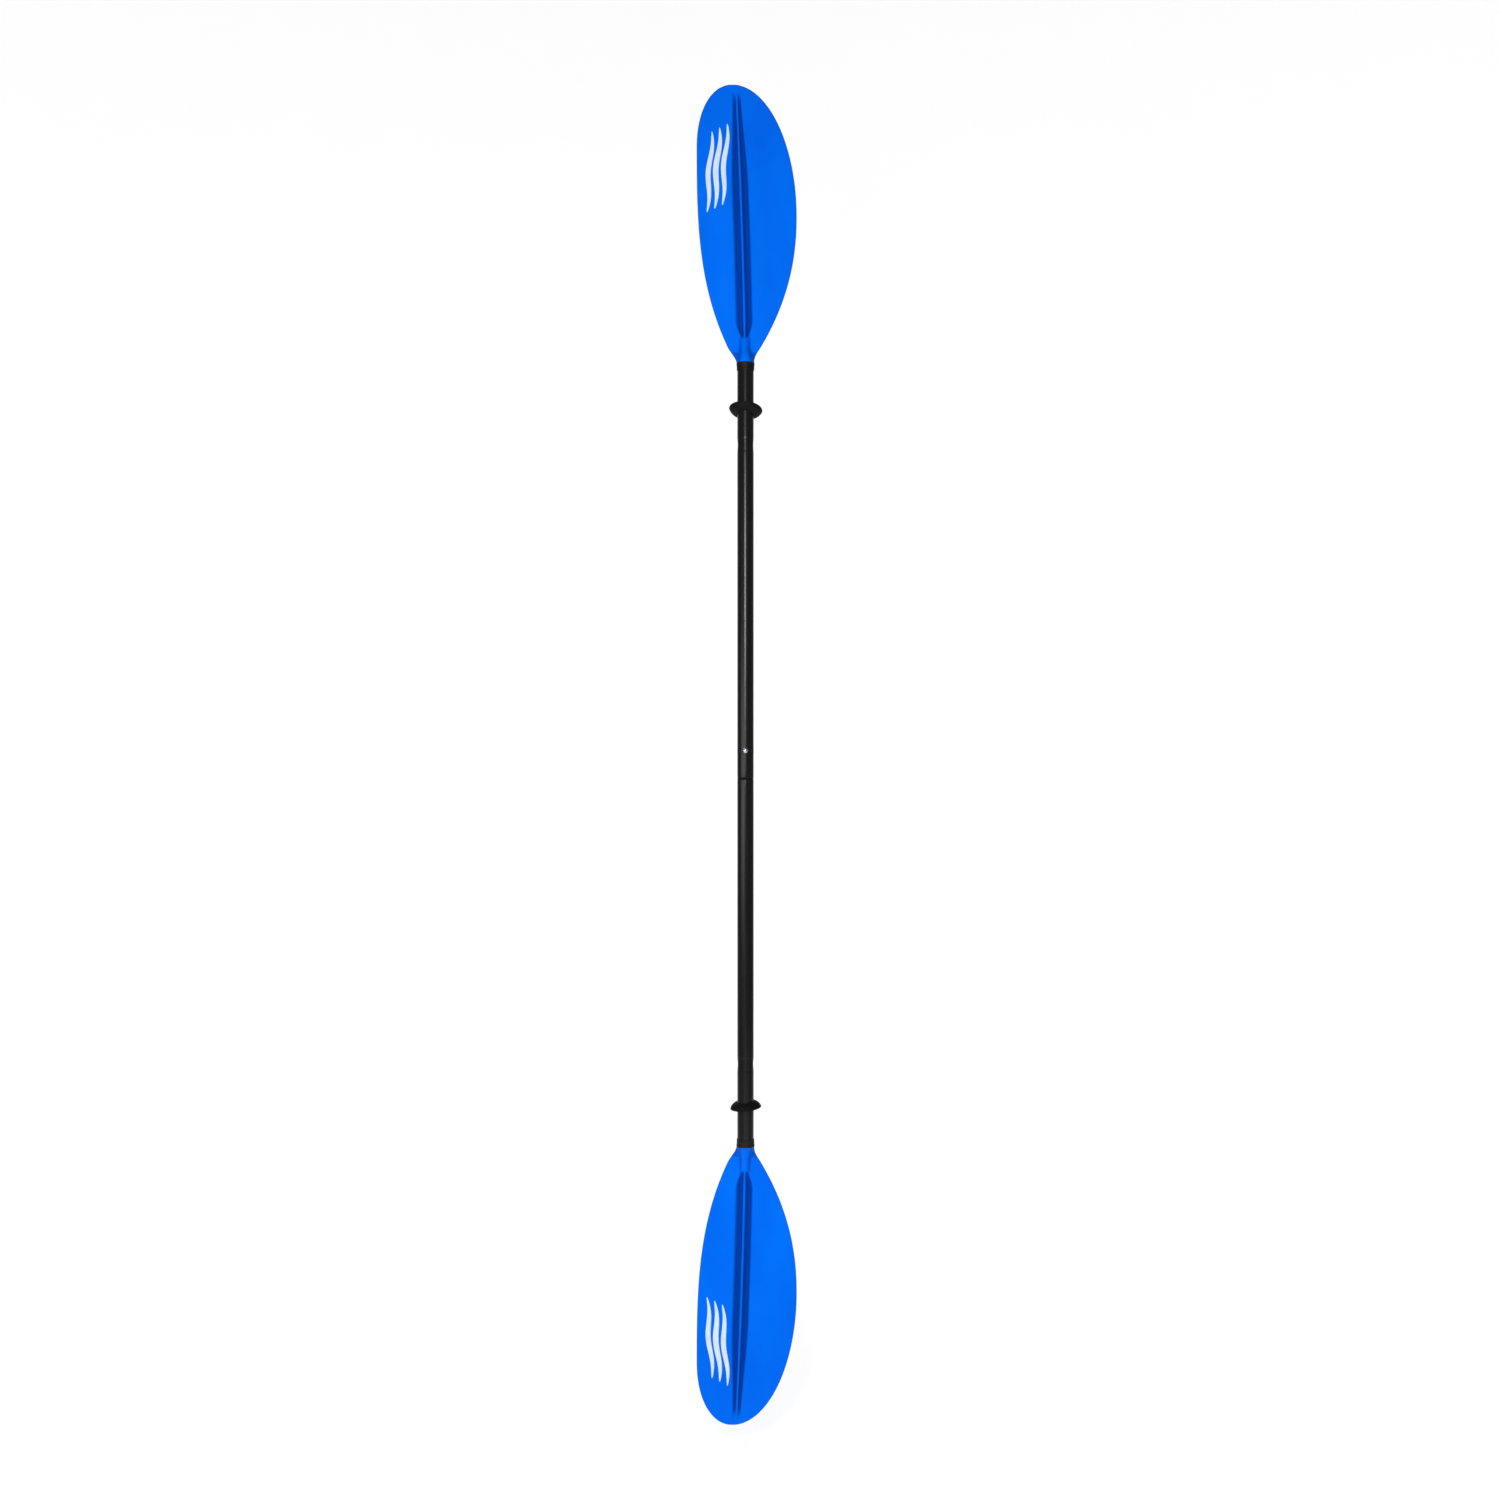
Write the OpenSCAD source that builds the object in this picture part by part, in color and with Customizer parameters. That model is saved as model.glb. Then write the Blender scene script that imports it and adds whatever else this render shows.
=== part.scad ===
// Two-piece kayak paddle. The shaft runs along Z with the socket half on top, and both power
// faces look towards -Y. The origin is on the shaft's axis, where the lower tube's plain wall
// ends and its rounded lip begins, at the take-apart seam.

/* [Shaft] */
// Outside diameter of both shaft tubes
tube_d = 28; // [26:0.5:30]
// Wall thickness of the shaft tubes
tube_wall = 1.3; // [1.2:0.1:1.6]
// Length of the upper tube, the one with the socket
upper_tube_len = 705; // [500:1:900]
// Length of the lower tube, the one that holds the ferrule
lower_tube_len = 624; // [500:1:900]
// Radius of the rounded lip at the seam end of each tube
lip_r = 1; // [0.6:0.1:1.2]
// Gap between the two tube ends at the seam
seam_gap = 3; // [2:0.5:5]

/* [Take-apart joint] */
// How far the ferrule reaches into the upper tube, from the origin
ferrule_reach = 84; // [70:1:100]
// How deep the ferrule is bonded into the lower tube, from the origin
ferrule_root = 85; // [60:1:100]
// Wall thickness of the ferrule
ferrule_wall = 2.4; // [2:0.1:3]
// Height of the snap button above the origin
button_z = 50; // [40:1:58]
// Diameter of the snap button
button_d = 8; // [7:0.5:8]
// How far the snap button stands out of the shaft
button_proud = 2.5; // [1.5:0.5:3]
// Angle from the middle hole to each feather hole
feather_angle = 60; // [45:5:75]

/* [Fixing of the blades] */
// Length of the blade's tang inside the tube
tang_len = 160; // [158:1:190]
// Distance of the crimps from the blade end of the tube
crimp_from_neck = 140; // [130:1:142]
// Depth of each crimp
crimp_depth = 1; // [0.6:0.1:1.2]
// Length of the collar at the blade end of the tube
collar_len = 13; // [10:1:18]

/* [Drip rings] */
// Diameter of the upper drip ring's rim
upper_ring_d = 57; // [50:1:60]
// Diameter of the lower drip ring's rim
lower_ring_d = 53; // [50:1:60]
// Height of a drip ring from its rim to its hub
ring_height = 10; // [8:1:12]
// Distance of the upper ring's rim from the blade end of the tube
upper_ring_from_neck = 78; // [70:1:100]
// Distance of the lower ring's rim from the blade end of the tube
lower_ring_from_neck = 66; // [62:1:90]
// How far the soft upper ring leans forward
upper_ring_lean = 19; // [0:1:20]
// How far the soft lower ring leans forward
lower_ring_lean = 5; // [0:1:20]
// How far each ring leans sideways
ring_roll = 5; // [0:1:8]

/* [Blade] */
// Length of the blade from the end of the tube to its tip
blade_len = 464; // [430:1:500]
// Widest reach of the long edge from the shaft's axis
long_reach = 82.7; // [75:0.1:90]
// Distance from the neck to where the long edge is widest
long_reach_at = 360; // [340:1:380]
// Widest reach of the short edge from the shaft's axis
short_reach = 87; // [75:0.1:95]
// Distance from the neck to where the short edge is widest
short_reach_at = 247; // [230:1:280]
// Sideways distance of the blade's tip from the shaft's axis
tip_offset = 21.5; // [12:0.5:30]
// Thickness of the blade between its spine and its edges
blade_t = 3.2; // [2.6:0.1:4]
// Forward curve of the blade at its tip
tip_curve = 26; // [10:1:35]
// Depth of the two flutes beside the centre rib
flute_depth = 5; // [3:0.5:5]
// Height of the spine on the back of the blade, at the neck
spine_h = 12; // [10:1:14]

/* [Hidden] */
$fn = 96;

tube_r = tube_d / 2;
bore_r = tube_r - tube_wall;
upper_end = lip_r + seam_gap;
upper_neck = upper_end + upper_tube_len;
lower_neck = lip_r - lower_tube_len;

// Clearances, each a gap between two radii
ferrule_gap = 0.08;
tang_gap = 0.3;
collar_gap = 0.05;
foam_gap = 0.15;
hole_gap = 0.2;
ring_gap = 0.05;
// How far a drip ring's skirt bulges: 0 is a plain cone, 1 a quarter ellipse
dome_bulge = 0.6;

ferrule_r = bore_r - ferrule_gap;
ferrule_bore_r = ferrule_r - ferrule_wall;
foam_len = 40;
foam_from_ferrule = 8;

// A crimp is a dent of a large ball. The press also draws the wall in a little around it.
crimp_ball_r = 45;
crimp_half = 13;
crimp_run_out = 3;
crimp_draw = 0.2;

// The tang
tang_r = bore_r - tang_gap;
tang_chamfer = 2.5;
waist_r = bore_r - crimp_depth - 0.7;
neck_r = tube_r + 1.2;
seal_at = 22;
seal_section_r = 0.7;
seal_groove_half = 2;
seal_groove_r = bore_r - 2 * seal_section_r - 0.1;

// The blade's section has 2 * HALF_STEPS steps on each face. The inner steps are at fixed
// distances from the centre rib, and the outer ones share the rest of the width.
INNER_STEPS = [0, 1.1, 2.4, 4, 5.8, 7.8, 10, 12.5, 15];
OUTER_STEPS = [0.2, 0.5, 0.8, 0.95, 1];
HALF_STEPS = len(INNER_STEPS) - 1 + len(OUTER_STEPS);
narrowest_full_section = 30;
neck_run = 27;
NECK_ROWS = [0, 2, 4, 6.5, 9, 12, 15, 18, 21, 24, 27, 30, 34, 38, 42, 46, 50, 55, 60, 66, 72];
tip_rows = 26;
tip_flat = 0.3;

function mix(a, b, w) = a + (b - a) * w;
function ease(w) = let (c = min(1, max(0, w))) c * c * (3 - 2 * c);
function side(i) = i < 0 ? -1 : 1;

// The two edges. Each swells from the neck to its widest place, then rounds off to the tip.
function long_edge(t) =
    t < long_reach_at
    ? long_reach - 66 * pow(1 - t / long_reach_at, 3)
    : let (s = (t - long_reach_at) / (blade_len - long_reach_at))
      tip_offset + (long_reach - tip_offset) * pow(1 - pow(s, 2.2), 1 / 2.2);
function short_edge(t) =
    t < short_reach_at
    ? short_reach - 78 * pow(1 - t / short_reach_at, 2.15) + 3 * exp(-pow(t / 12, 2))
    : let (s = (t - short_reach_at) / (blade_len - short_reach_at))
      -tip_offset + (short_reach + tip_offset) * sqrt(1 - s * s);

// The centre rib drifts towards the long edge on its way to the tip, where it fades out and
// the sections are centred on the outline
function rib_x(t) = mix(
    -1 - 15 * pow(t / blade_len, 1.5), (short_edge(t) - long_edge(t)) / 2,
    ease((blade_len - t - 22) / -20)
);

// Forward curve along the blade, and the shallow roof shape across it
function face_y(t, d) = 0.045 * abs(d) * ease(t / 90) - tip_curve * pow(t / blade_len, 1.8);

// Half the plate's thickness, w from the edge: thinner outwards, and rounded at the rim
function half_plate(w) =
    mix(0.7, 1, ease(w / 40)) * blade_t / 2 * sqrt(1 - pow(1 - min(1, w / 3), 2));

// Rounded ridge of height h and half-width w: the column that carries the neck into the rib,
// and the spine on the back
function ridge(h, w, d) = h * pow(max(0, 1 - pow(d / w, 2)), 1.5);
function column_y(t, d) = ridge(13 * (1 - ease(t / 62)), mix(17, 11, ease(t / 26)), d);
function spine_y(t, d) =
    ridge(spine_h * (1 - pow(min(1, t / 450), 2)), mix(21, 13, t / blade_len), d);

// The flutes lie between the rib and the lip of the channel
function flute_reach(t) =
    mix(6.5, 14.5, ease((t - 38) / 34)) * mix(1, 0.5, ease((t - 290) / 165));
function flute_y(t, d) =
    let (rib_half = 1.1)
    let (w = (abs(d) - rib_half) / (flute_reach(t) - rib_half))
    let (depth = ease((t - 36) / 24) * (1 - pow(max(0, (t - 180) / 275), 5)))
    w <= 0 || w >= 1 || depth <= 0 ? 0 : flute_depth * depth * sin(180 * w);

// One point of the section at t. Step i runs from the long edge to the short edge, and face
// is -1 on the power face and 1 on the back.
function section_x(t, i) =
    let (edge_x = i < 0 ? -long_edge(t) : short_edge(t))
    let (room = abs(edge_x - rib_x(t)))
    let (inner = INNER_STEPS * min(1, room / narrowest_full_section))
    let (n = abs(i), last = len(INNER_STEPS) - 1)
    n <= last
    ? rib_x(t) + side(i) * inner[n]
    : mix(rib_x(t) + side(i) * inner[last], edge_x, OUTER_STEPS[n - last - 1]);
function blade_point(t, i, face) =
    let (x = section_x(t, i), d = x - rib_x(t))
    let (w = min(i < 0 ? x + long_edge(t) : short_edge(t) - x, blade_len - t))
    let (plate = face_y(t, d) + face * half_plate(max(0, w)))
    [x, abs(i) == HALF_STEPS ? face_y(t, d)
        : face < 0 ? plate - column_y(t, d) + flute_y(t, d)
        : plate + spine_y(t, d)];
function round_point(r, i, face) =
    let (a = 90 * i / HALF_STEPS) [r * sin(a), face * r * cos(a)];

// The closed loop of steps round a section, as [step, face]
LOOP = concat(
    [for (i = [-HALF_STEPS : HALF_STEPS]) [i, -1]],
    [for (i = [HALF_STEPS - 1 : -1 : 1 - HALF_STEPS]) [i, 1]]
);

// The tang's outline as [distance from the neck, radius], with its waist under the crimps
TANG = [
    [-tang_len, tang_r - 1], [tang_chamfer - tang_len, tang_r],
    [-crimp_from_neck - crimp_half, tang_r], [-crimp_from_neck - crimp_half + 1, waist_r],
    [-crimp_from_neck + crimp_half - 1, waist_r], [-crimp_from_neck + crimp_half, tang_r],
    [-seal_at - seal_groove_half, tang_r], [-seal_at - seal_groove_half, seal_groove_r],
    [-seal_at + seal_groove_half, seal_groove_r], [-seal_at + seal_groove_half, tang_r],
    [0, tang_r]
];

// Rows from the neck to the tip, closer together as the outline turns round the tip
last_neck_row = NECK_ROWS[len(NECK_ROWS) - 1];
BLADE_ROWS = concat(NECK_ROWS, [
    for (n = [1 : tip_rows])
    mix(last_neck_row, blade_len - tip_flat, 1 - pow(1 - n / tip_rows, 1.7))
]);

function tang_row(row) =
    [for (p = LOOP) let (q = round_point(row[1], p[0], p[1])) [q[0], q[1], row[0]]];
function blade_row(t) =
    let (w = 1 - pow(1 - min(1, t / neck_run), 2))
    [for (p = LOOP)
        let (q = mix(round_point(neck_r, p[0], p[1]), blade_point(t, p[0], p[1]), w))
        [q[0], q[1], t]];

module blade_body() {
    rows = concat([for (row = TANG) tang_row(row)], [for (t = BLADE_ROWS) blade_row(t)]);
    n = len(LOOP);
    last = len(rows) - 1;
    points = [for (row = rows) for (p = row) p];
    skin = [
        for (r = [0 : last - 1]) for (k = [0 : n - 1])
        let (a = r * n + k, b = r * n + (k + 1) % n)
        each [[a, b + n, b], [a, a + n, b + n]]
    ];
    caps = [[for (k = [0 : n - 1]) k], [for (k = [n - 1 : -1 : 0]) last * n + k]];
    polyhedron(points, concat(skin, caps), convexity = 8);
}

// Balls whose surfaces lie a distance grow outside the crimps
module crimp_balls(grow) {
    for (s = [-1, 1])
        translate([s * (tube_r - crimp_depth + crimp_ball_r), 0, 0])
            sphere(r = crimp_ball_r + grow);
}

// A tube from its lip at z = 0 to its blade end at z = len
module tube_body(len) {
    crimp_z = len - crimp_from_neck;
    difference() {
        union() {
            rotate_extrude() {
                polygon([
                    [bore_r, 0], [tube_r - lip_r, 0], [tube_r - lip_r, lip_r], [tube_r, lip_r],
                    [tube_r, crimp_z - crimp_half],
                    [tube_r - crimp_draw, crimp_z - crimp_half + crimp_run_out],
                    [tube_r - crimp_draw, crimp_z + crimp_half - crimp_run_out],
                    [tube_r, crimp_z + crimp_half],
                    [tube_r, len], [bore_r, len]
                ]);
                intersection() {
                    translate([tube_r - lip_r, lip_r]) circle(r = lip_r);
                    translate([tube_r - lip_r, 0]) square(lip_r);
                }
            }
            // the wall pushed inwards behind each crimp
            intersection() {
                translate([0, 0, crimp_z - crimp_half])
                    cylinder(r = bore_r + tube_wall / 2, h = 2 * crimp_half);
                translate([0, 0, crimp_z]) crimp_balls(tube_wall);
            }
        }
        translate([0, 0, crimp_z]) crimp_balls(0);
    }
}

// A round hole of radius r, drilled from the axis outwards at an angle from the front
module side_hole(r, angle, z) {
    translate([0, 0, z]) rotate([90, 0, angle]) cylinder(r = r, h = tube_d);
}

// The collar over the blade end of a tube, from z = -collar_len to the neck at z = 0
module collar_body() {
    rotate_extrude()
        polygon([
            [tube_r + collar_gap, -collar_len], [tube_r + 0.7, -collar_len],
            [tube_r + 0.9, 0.5 - collar_len], [tube_r + 1, -collar_len / 2],
            [tube_r + 1.5, -2], [tube_r + 1.5, -0.4], [tube_r + 1.2, 0],
            [tube_r + collar_gap, 0]
        ]);
}

// The O-ring round the tang
module tang_seal_body() {
    translate([0, 0, -seal_at])
        rotate_extrude()
            translate([bore_r - seal_section_r - ring_gap, 0]) circle(r = seal_section_r);
}

// The domed section of a drip ring's skirt, from its foot at r0 to its rim at r1
function dome(r0, r1, low, u) = [
    mix(r0, r1, mix(u, sin(90 * u), dome_bulge)),
    low * (1 - mix(u, 1 - cos(90 * u), dome_bulge))
];

// A drip ring with its rim towards +Z, where the blade is.
// The soft ring leans as one body, and its bore stays in line with the tube.
module drip_ring_body(ring_d, lean, roll) {
    hub_r = tube_r + 3;
    skirt_t = 2;
    rim_t = 1.2;
    core_r = tube_r - 4;
    pivot = -ring_height / 2;
    outside = [for (i = [0:6]) dome(hub_r, ring_d / 2, -ring_height, i / 6)];
    inside = [for (i = [6:-1:0]) dome(hub_r, ring_d / 2 - rim_t, skirt_t - ring_height, i / 6)];
    difference() {
        translate([0, 0, pivot]) rotate([lean, roll, 0]) translate([0, 0, -pivot])
            rotate_extrude()
                polygon(concat(
                    [[core_r, -ring_height]], outside, inside, [[hub_r, 0], [core_r, 0]]
                ));
        translate([0, 0, -2 * ring_height]) cylinder(r = tube_r + ring_gap, h = 3 * ring_height);
    }
}

// A round-ended strip in a plane, from p to q
module strip(p, q, t) {
    run = q - p;
    translate(p) rotate(atan2(run[1], run[0])) translate([0, -t / 2]) square([norm(run), t]);
    translate(q) circle(d = t);
}

module upper_blade() {
    color("dodgerblue") translate([0, 0, upper_neck]) blade_body();
}

module lower_blade() {
    color("dodgerblue") translate([0, 0, lower_neck]) mirror([0, 0, 1]) blade_body();
}

module upper_tube() {
    color("#1c1c1e")
        difference() {
            translate([0, 0, upper_end]) tube_body(upper_tube_len);
            for (a = [-feather_angle, 0, feather_angle])
                side_hole(button_d / 2 + hole_gap, a, button_z);
        }
}

module lower_tube() {
    color("#1c1c1e") translate([0, 0, lip_r]) mirror([0, 0, 1]) tube_body(lower_tube_len);
}

module upper_collar() {
    color("#2a2a2c") translate([0, 0, upper_neck]) collar_body();
}

module lower_collar() {
    color("#3a3a3c") translate([0, 0, lower_neck]) mirror([0, 0, 1]) collar_body();
}

module upper_tang_seal() {
    color("#101010") translate([0, 0, upper_neck]) tang_seal_body();
}

module lower_tang_seal() {
    color("#101010") translate([0, 0, lower_neck]) mirror([0, 0, 1]) tang_seal_body();
}

module upper_foam_plug() {
    color("#d8d8d0")
        translate([0, 0, ferrule_reach + foam_from_ferrule])
            cylinder(r = bore_r - foam_gap, h = foam_len);
}

module lower_foam_plug() {
    color("#d8d8d0")
        translate([0, 0, -ferrule_root - foam_from_ferrule - foam_len])
            cylinder(r = bore_r - foam_gap, h = foam_len);
}

module upper_drip_ring() {
    color("#2a2a2c")
        translate([0, 0, upper_neck - upper_ring_from_neck])
            drip_ring_body(upper_ring_d, -upper_ring_lean, ring_roll);
}

module lower_drip_ring() {
    color("#2a2a2c")
        translate([0, 0, lower_neck + lower_ring_from_neck])
            mirror([0, 0, 1]) drip_ring_body(lower_ring_d, -lower_ring_lean, ring_roll);
}

// The ring between the two tube ends turns with the upper half and stays on the ferrule
module joint_ring() {
    end_gap = 0.05;
    color("#0c0c0c")
        translate([0, 0, lip_r + end_gap])
            difference() {
                cylinder(r = tube_r - 0.4, h = seam_gap - 2 * end_gap);
                translate([0, 0, -1]) cylinder(r = ferrule_r + ring_gap, h = seam_gap + 2);
            }
}

module ferrule() {
    chamfer = 1;
    color("#202020")
        difference() {
            rotate_extrude()
                polygon([
                    [ferrule_bore_r, -ferrule_root], [ferrule_r, -ferrule_root],
                    [ferrule_r, ferrule_reach - chamfer], [ferrule_r - chamfer, ferrule_reach],
                    [ferrule_bore_r, ferrule_reach]
                ]);
            side_hole(button_d / 2 + hole_gap, 0, button_z);
        }
}

// The V-shaped spring lies in the ferrule, and its front leg carries the button
spring_t = 0.8;
spring_w = 8;
spring_reach = sqrt(pow(ferrule_bore_r, 2) - pow(spring_w / 2, 2)) - spring_t / 2 - 0.05;
button_shank_r = 2;
module button_spring() {
    bend_r = 1.8;
    bend_z = button_z - 40;
    knee_z = button_z - 9;
    color("silver")
        difference() {
            rotate([90, 0, 90])
                linear_extrude(spring_w, center = true) {
                    difference() {
                        translate([0, bend_z]) circle(r = bend_r + spring_t / 2);
                        translate([0, bend_z]) circle(r = bend_r - spring_t / 2);
                        translate([-2 * bend_r, bend_z]) square(4 * bend_r);
                    }
                    for (s = [-1, 1]) {
                        strip([s * bend_r, bend_z], [s * spring_reach, knee_z], spring_t);
                        strip([s * spring_reach, knee_z], [s * spring_reach, button_z + 7], spring_t);
                    }
                }
            side_hole(button_shank_r + 0.05, 0, button_z);
        }
}

// The button is riveted to the spring's front leg. Its profile is drawn outwards from the axis.
module snap_button() {
    r = button_d / 2;
    seat = spring_reach + spring_t / 2;
    top = tube_r + button_proud;
    dome = 1.6;
    rivet_t = 0.9;
    color("gainsboro")
        translate([0, 0, button_z])
            rotate([90, 0, 0])
                rotate_extrude() {
                    translate([0, seat]) square([r, top - dome - seat]);
                    intersection() {
                        translate([0, top - dome]) square([r, dome]);
                        translate([0, top - (r * r + dome * dome) / (2 * dome)])
                            circle(r = (r * r + dome * dome) / (2 * dome));
                    }
                    translate([0, seat - spring_t]) square([button_shank_r, spring_t]);
                    translate([0, seat - spring_t - rivet_t]) square([button_shank_r + 1, rivet_t]);
                }
}

upper_blade();
upper_tube();
upper_collar();
upper_tang_seal();
upper_foam_plug();
upper_drip_ring();
joint_ring();
ferrule();
snap_button();
button_spring();
lower_tube();
lower_collar();
lower_tang_seal();
lower_foam_plug();
lower_drip_ring();
lower_blade();
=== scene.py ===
import math

import bmesh
import bpy
import numpy as np
from mathutils import Matrix, Vector


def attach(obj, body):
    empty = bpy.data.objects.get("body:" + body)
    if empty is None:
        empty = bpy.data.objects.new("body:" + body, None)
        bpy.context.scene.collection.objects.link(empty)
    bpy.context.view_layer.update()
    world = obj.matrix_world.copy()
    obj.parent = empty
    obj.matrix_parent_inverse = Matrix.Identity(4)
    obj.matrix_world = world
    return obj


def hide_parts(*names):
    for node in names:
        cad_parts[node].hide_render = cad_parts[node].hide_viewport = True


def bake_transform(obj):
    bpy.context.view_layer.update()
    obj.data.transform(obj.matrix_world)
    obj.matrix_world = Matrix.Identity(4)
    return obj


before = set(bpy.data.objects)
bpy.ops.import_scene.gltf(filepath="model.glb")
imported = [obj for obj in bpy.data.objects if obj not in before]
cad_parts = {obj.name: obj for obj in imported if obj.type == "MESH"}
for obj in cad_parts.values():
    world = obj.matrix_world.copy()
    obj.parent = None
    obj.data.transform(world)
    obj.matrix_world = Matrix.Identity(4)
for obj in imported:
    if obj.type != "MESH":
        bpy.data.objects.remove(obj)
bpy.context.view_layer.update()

MM = 0.001
AXIS_STEPS = 192

# ---------------------------------------------------------------- sizes, in millimetres
TUBE_R = 14.0
BORE_R = 12.7
LIP_R = 1.0
SEAM_GAP = 3.0
UPPER_END = LIP_R + SEAM_GAP
UPPER_LEN = 705.0
LOWER_LEN = 624.0
UPPER_NECK = UPPER_END + UPPER_LEN
LOWER_NECK = LIP_R - LOWER_LEN
FERRULE_REACH, FERRULE_ROOT = 84.0, 85.0
FERRULE_R, FERRULE_BORE_R = 12.62, 10.22
BUTTON_Z, BUTTON_R, BUTTON_TOP = 50.0, 4.0, 16.5
HOLE_R = 4.2
FEATHER = 60
CRIMP_FROM_NECK, CRIMP_DEPTH, CRIMP_BALL, CRIMP_HALF = 140.0, 1.0, 45.0, 13.0
CRIMP_RUN_OUT, CRIMP_DRAW = 3.0, 0.2
COLLAR_LEN = 13.0
UPPER_RING_R, LOWER_RING_R = 28.5, 26.5
RING_HEIGHT, RING_HUB_R, SKIRT_T, RING_RIM_T = 10.0, 17.0, 2.0, 1.2
UPPER_RING_FROM_NECK, LOWER_RING_FROM_NECK = 78.0, 66.0
UPPER_LEAN, LOWER_LEAN, RING_ROLL = 19.0, 5.0, 5.0
BLADE_LEN = 464.0
LONG_REACH, LONG_AT, LONG_GROWTH = 82.7, 360.0, 66.0
SHORT_REACH, SHORT_AT, SHORT_GROWTH = 87.0, 247.0, 78.0
TIP_OFFSET, TIP_CURVE, TIP_FLAT, TIP_FULLNESS = 21.5, 26.0, 0.3, 2.2
ROOF_SLOPE, ROOF_RUN = 0.045, 90.0
EDGE_SHARE, EDGE_RUN, RIM_RUN = 0.7, 40.0, 3.0
BLADE_T, FLUTE_DEPTH, SPINE_H = 3.2, 5.0, 12.0
NECK_R, NECK_RUN = 15.2, 27.0
TANG_LEN, TANG_R, WAIST_R = 160.0, 12.4, 11.0
SEAL_AT, SEAL_GROOVE_HALF, SEAL_GROOVE_R = 22.0, 2.0, 11.2


# ---------------------------------------------------------------- small maths
def mix(a, b, w):
    return a + (b - a) * w


def ease(w):
    c = np.clip(w, 0.0, 1.0)
    return c * c * (3 - 2 * c)


def spline(points, steps=6):
    """A smooth curve through the points. A point given twice is a corner."""
    p = [np.array(q, float) for q in points]
    out = []
    for i in range(len(p) - 1):
        a, b = p[i], p[i + 1]
        if np.allclose(a, b):
            continue
        before = p[i - 1] if i > 0 and not np.allclose(p[i - 1], a) else a
        after = p[i + 2] if i + 2 < len(p) and not np.allclose(p[i + 2], b) else b
        for k in range(steps):
            u = k / steps
            out.append(
                0.5 * (2 * a + (b - before) * u + (2 * before - 5 * a + 4 * b - after) * u * u
                       + (3 * a - before - 3 * b + after) * u ** 3)
            )
    out.append(p[-1])
    return [tuple(q) for q in out]


# ---------------------------------------------------------------- mesh helpers
def mesh_object(name, points_mm, faces, material, smooth_angle=40):
    """A mesh object from points in millimetres, shaded smooth except across sharp edges."""
    mesh = bpy.data.meshes.new(name)
    mesh.from_pydata((np.asarray(points_mm, float) * MM).tolist(), [], faces)
    mesh.validate()
    obj = bpy.data.objects.new(name, mesh)
    bpy.context.scene.collection.objects.link(obj)
    mesh.materials.append(material)
    shade(obj, smooth_angle)
    return obj


def shade(obj, smooth_angle):
    bm = bmesh.new()
    bm.from_mesh(obj.data)
    bmesh.ops.recalc_face_normals(bm, faces=bm.faces)
    limit = math.radians(smooth_angle)
    for f in bm.faces:
        f.smooth = True
    for e in bm.edges:
        e.smooth = len(e.link_faces) == 2 and e.calc_face_angle(0.0) < limit
    bm.to_mesh(obj.data)
    bm.free()


def skin(rings, closed_ends=True, closed_loop=False):
    """Faces between equal rings of points, with end caps or with the last ring joined to the first."""
    n = len(rings[0])
    points = np.concatenate([np.asarray(r, float) for r in rings])
    faces = []
    count = len(rings)
    for r in range(count if closed_loop else count - 1):
        s = (r + 1) % count
        for k in range(n):
            m = (k + 1) % n
            faces.append((r * n + k, r * n + m, s * n + m, s * n + k))
    if closed_ends and not closed_loop:
        faces.append(tuple(range(n - 1, -1, -1)))
        faces.append(tuple((count - 1) * n + k for k in range(n)))
    return points, faces


def lathe(name, profile, material, steps=AXIS_STEPS, smooth_angle=40):
    """A closed profile of (radius, z) turned about Z."""
    angles = np.arange(steps) * 2 * math.pi / steps
    rings = [
        np.stack([r * np.cos(angles), r * np.sin(angles), np.full(steps, z)], axis=1)
        for r, z in profile
    ]
    points, faces = skin(rings, closed_loop=True)
    return mesh_object(name, points, faces, material, smooth_angle)


def move(obj, matrix):
    obj.data.transform(matrix)
    if matrix.determinant() < 0:
        obj.data.flip_normals()
    return obj


def at_height(z_mm):
    return Matrix.Translation((0, 0, z_mm * MM))


MIRROR_Z = Matrix.Diagonal((1, 1, -1, 1))


def cut(obj, cutter):
    """Takes the cutter out of obj and bakes the result into its mesh."""
    m = obj.modifiers.new("cut", "BOOLEAN")
    m.operation, m.solver, m.object = "DIFFERENCE", "EXACT", cutter
    bpy.context.view_layer.update()
    done = bpy.data.meshes.new_from_object(obj.evaluated_get(bpy.context.evaluated_depsgraph_get()))
    obj.modifiers.clear()
    obj.data = done
    bpy.data.objects.remove(cutter)
    return obj


def piece(obj, body, nodes=()):
    if nodes:
        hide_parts(*nodes)
    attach(obj, body)
    return obj


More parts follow.
